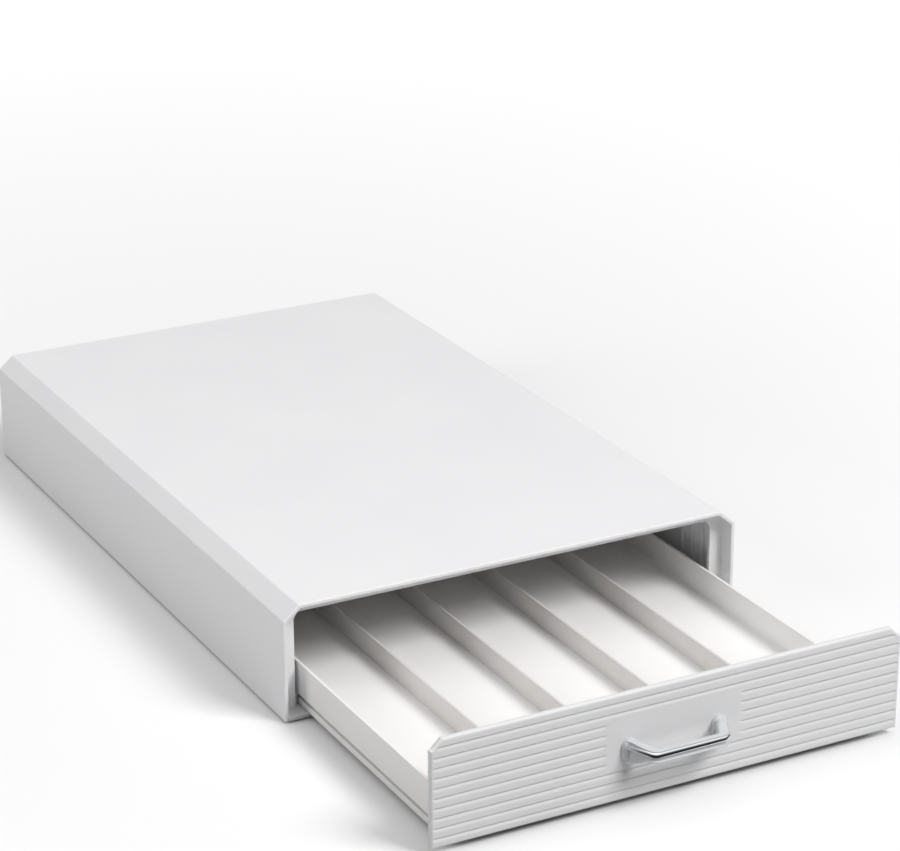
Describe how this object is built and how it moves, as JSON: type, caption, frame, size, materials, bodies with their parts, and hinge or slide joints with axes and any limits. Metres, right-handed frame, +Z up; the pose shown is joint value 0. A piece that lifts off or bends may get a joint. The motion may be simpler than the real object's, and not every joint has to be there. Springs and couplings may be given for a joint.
{
  "type": "coffee pod drawer",
  "caption": "Low plastic case that a coffee machine stands on, with a handled tray that slides out and holds coffee pods in parallel lanes.",
  "frame": {"origin": "on the table, in the middle of the footprint in X and Y with the tray part open as stored", "axes": "+Z up from the table, +X to the right seen from the front, +Y from the handle towards the back of the case; the tray opens towards -Y"},
  "size_m": [0.246, 0.5372, 0.0592],
  "materials": {
    "case_plastic": "fine satin moulding, cool white",
    "back_plastic": "satin moulding",
    "rail_plastic": "satin moulding",
    "tray_plastic": "satin moulding",
    "divider_plastic": "satin moulding",
    "panel_plastic": "satin moulding, slatted",
    "handle_silver": "satin silver-grey moulding",
    "rod_chrome": "bright chrome",
    "screw_steel": "zinc-plated steel",
    "foot_rubber": "soft matte rubber",
    "stop_plastic": "natural acetal"
  },
  "bodies": {
    "case": {"case_shell": "case_plastic", "back_panel": "back_plastic", "back_screws": "screw_steel", "rail_left": "rail_plastic", "rail_right": "rail_plastic", "rail_screws": "screw_steel", "foot_front_left": "foot_rubber", "foot_front_right": "foot_rubber", "foot_rear_left": "foot_rubber", "foot_rear_right": "foot_rubber"},
    "drawer": {"tray": "tray_plastic", "divider_1": "divider_plastic", "divider_2": "divider_plastic", "divider_3": "divider_plastic", "divider_4": "divider_plastic", "front_panel": "panel_plastic", "panel_screws": "screw_steel", "handle_bow": "handle_silver", "handle_rod": "rod_chrome", "handle_screws": "screw_steel", "stop_left": "stop_plastic", "stop_right": "stop_plastic"}
  },
  "joints": [
    {"name": "tray_slide", "type": "slide", "parent": "case", "child": "drawer", "axis": [0, -1, 0], "range_m": [-0.141, 0.159]}
  ]
}
